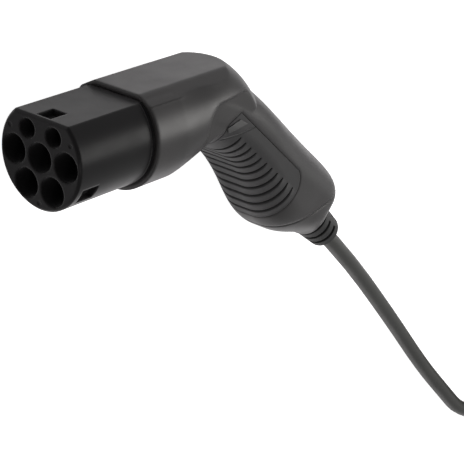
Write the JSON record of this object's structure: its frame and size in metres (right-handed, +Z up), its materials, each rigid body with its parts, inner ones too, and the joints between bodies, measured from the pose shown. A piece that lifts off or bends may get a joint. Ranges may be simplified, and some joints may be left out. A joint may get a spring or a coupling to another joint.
{
  "type": "ev charging cable",
  "caption": "Charging cable for an electric car: angled plug with a round flat-topped nose and grip, a cable coiled on the floor and the matching car connector.",
  "frame": {"origin": "on the floor, under the middle of the outline of the station plug with its boot; cable, coil and car connector not counted", "axes": "+Z up from the floor the plug lies on; +X out of the plug's nose; +Y the way the plug's handle points away"},
  "size_m": [0.8303, 0.3885, 0.062],
  "materials": {
    "housing_plastic": "fine sparked grain, satin",
    "nose_plastic": "smooth, semi-matt",
    "grip_rubber": "soft-touch, matt",
    "panel_plastic": "smooth",
    "boot_rubber": "matt",
    "seal_rubber": "matt",
    "insert_plastic": "moulded, matt",
    "screw_steel": "zinc plated",
    "contact_metal": "silver-plated, bright",
    "cable_sheath": "smooth, slightly glossy",
    "core_earth": "green and yellow insulation",
    "core_neutral": "blue insulation",
    "core_line": "brown insulation",
    "core_pilot": "black insulation",
    "resistor_body": "lacquered"
  },
  "bodies": {
    "root": {"cable_car_side": "cable_sheath", "cable_coil": "cable_sheath", "cable_plug_side": "cable_sheath", "car_boot": "boot_rubber", "car_carrier": "insert_plastic", "car_clamp_bar": "insert_plastic", "car_clamp_screws": "screw_steel", "car_core_earth": "core_earth", "car_core_line": "core_line", "car_core_neutral": "core_neutral", "car_core_pilot": "core_pilot", "car_end_cap": "housing_plastic", "car_grip_pad": "grip_rubber", "car_housing": "housing_plastic", "car_nose": "nose_plastic", "car_power_sleeves": "contact_metal", "car_retainer": "insert_plastic", "car_retainer_screws": "screw_steel", "car_seal": "seal_rubber", "car_side_panels": "panel_plastic", "car_signal_sleeves": "contact_metal", "plug_boot": "boot_rubber", "plug_carrier": "insert_plastic", "plug_clamp_bar": "insert_plastic", "plug_clamp_screws": "screw_steel", "plug_coding_resistor": "resistor_body", "plug_core_earth": "core_earth", "plug_core_line": "core_line", "plug_core_neutral": "core_neutral", "plug_core_pilot": "core_pilot", "plug_end_cap": "housing_plastic", "plug_grip_pad": "grip_rubber", "plug_housing": "housing_plastic", "plug_nose": "nose_plastic", "plug_pin_earth": "contact_metal", "plug_pin_line": "contact_metal", "plug_pin_neutral": "contact_metal", "plug_pin_pilot": "contact_metal", "plug_pin_proximity": "contact_metal", "plug_retainer": "insert_plastic", "plug_retainer_screws": "screw_steel", "plug_seal": "seal_rubber", "plug_side_panels": "panel_plastic"}
  },
  "joints": []
}
